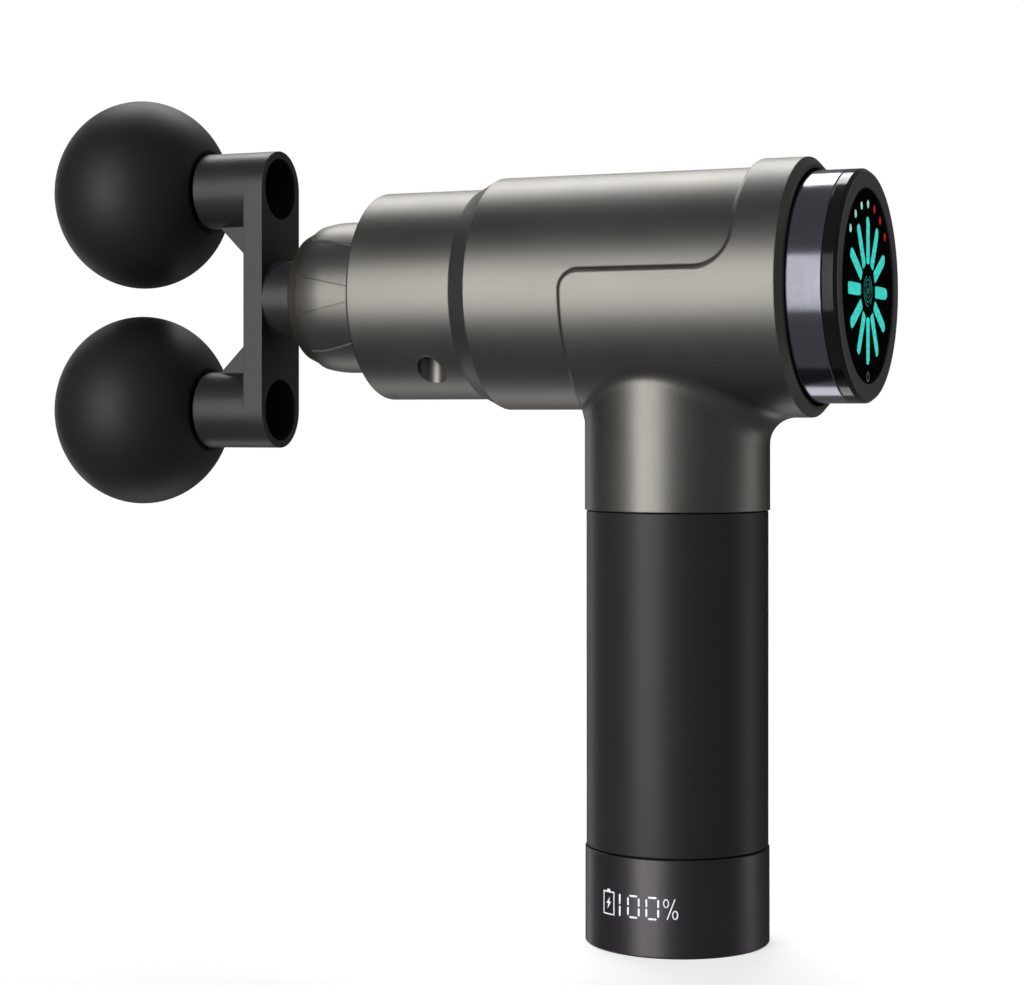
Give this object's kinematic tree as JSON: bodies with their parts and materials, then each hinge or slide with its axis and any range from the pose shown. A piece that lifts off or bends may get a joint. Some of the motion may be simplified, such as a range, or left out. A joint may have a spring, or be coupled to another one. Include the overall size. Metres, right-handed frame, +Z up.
{
  "type": "massage gun",
  "caption": "Handheld percussion massage gun with a forked double-ball head, a round display at the back and a removable battery handle.",
  "frame": {"origin": "centre of the handle's base, on the face it stands on", "axes": "+Z up the handle; the barrel lies along X above it, with the massage head towards -X and the round display facing +X; the charge read-out on the base faces -Y"},
  "size_m": [0.2402, 0.0668, 0.2284],
  "materials": {
    "gunmetal": "brushed, anodised dark grey",
    "ring_brown": "satin",
    "chrome": "polished",
    "gloss_black": "gloss",
    "panel_glass": "black glass",
    "teal_light": "lit window",
    "green_light": "lit window",
    "red_light": "lit window",
    "white_light": "lit window",
    "silicone": "matte",
    "base_plastic": "satin",
    "black_plastic": "matte",
    "fork_plastic": "satin",
    "ball_foam": "matte",
    "grey_plastic": "matte",
    "steel": "turned",
    "magnet": "nickel plated",
    "copper": "enamelled wire",
    "frame_alloy": "die cast",
    "bronze": "sintered",
    "board_green": "solder mask",
    "diffuser": "milky",
    "felt": "felt",
    "rubber": "matte",
    "cell_wrap": "shrink sleeve",
    "brass": "turned",
    "cable": "insulated"
  },
  "bodies": {
    "housing": {"main_housing": "gunmetal", "nose_cone": "gunmetal", "nose_ring": "ring_brown", "nose_wiper": "felt", "guide_bush": "bronze", "motor_frame": "frame_alloy", "barrel_screws": "steel", "motor_base": "frame_alloy", "motor_screws": "steel", "motor_bearings": "steel", "stator_core": "steel", "stator_windings": "copper", "neck_terminal": "black_plastic", "wiring": "cable", "display_ring": "chrome", "display_bezel": "gloss_black", "display_lens": "panel_glass", "mode_bars": "teal_light", "speed_dots": "green_light", "load_dots": "red_light", "panel_symbols": "white_light", "light_guide": "diffuser", "display_board": "board_green", "control_board": "board_green", "board_screws": "steel", "board_parts": "black_plastic"},
    "rotor": {"rotor_can": "steel", "rotor_magnets": "magnet", "motor_shaft": "steel", "crank": "steel", "crank_set_screw": "steel"},
    "rod": {"connecting_rod": "frame_alloy", "crank_bearing": "steel", "crank_pin": "steel", "small_end_bush": "bronze"},
    "piston_body": {"piston": "frame_alloy", "wrist_pin": "steel", "socket_spring": "rubber"},
    "head_seal": {"head_oring": "rubber"},
    "head": {"fork": "fork_plastic", "ball_upper": "ball_foam", "ball_lower": "ball_foam", "ball_inserts": "brass", "ball_washers": "steel", "ball_screws": "steel"},
    "battery_pack": {"battery_tube": "black_plastic", "grip_sleeve": "silicone", "base_cap": "base_plastic", "readout": "white_light", "base_screws": "steel", "foot_block": "black_plastic", "charge_socket": "black_plastic", "switch_body": "black_plastic", "cells": "cell_wrap", "cell_holders": "grey_plastic", "cell_straps": "steel", "charge_electronics": "board_green", "pack_terminal": "black_plastic"},
    "power_switch": {"switch_rocker": "gloss_black"}
  },
  "joints": [
    {"name": "rotor_spin", "type": "hinge", "parent": "housing", "child": "rotor", "pos_m": [0, 0, 0.142], "axis": [0, 0, 1], "continuous": true},
    {"name": "piston_stroke", "type": "slide", "parent": "housing", "child": "piston_body", "axis": [-1, 0, 0], "range_m": [0, 0.012]},
    {"name": "rod_swing", "type": "hinge", "parent": "piston_body", "child": "rod", "pos_m": [-0.054, 0, 0.1702], "axis": [0, 0, 1], "range_deg": [-5.74, 5.74]},
    {"name": "head_pull", "type": "slide", "parent": "piston_body", "child": "head_seal", "axis": [-1, 0, 0], "range_m": [0, 0.024]},
    {"name": "head_turn", "type": "hinge", "parent": "head_seal", "child": "head", "pos_m": [-0.095, 0, 0.1702], "axis": [-1, 0, 0], "continuous": true},
    {"name": "battery_release", "type": "slide", "parent": "housing", "child": "battery_pack", "axis": [0, 0, -1], "range_m": [0, 0.03]},
    {"name": "power_rocker", "type": "hinge", "parent": "battery_pack", "child": "power_switch", "pos_m": [0, 0.0092, 0.0046], "axis": [0, 1, 0], "range_deg": [0, 16]}
  ]
}
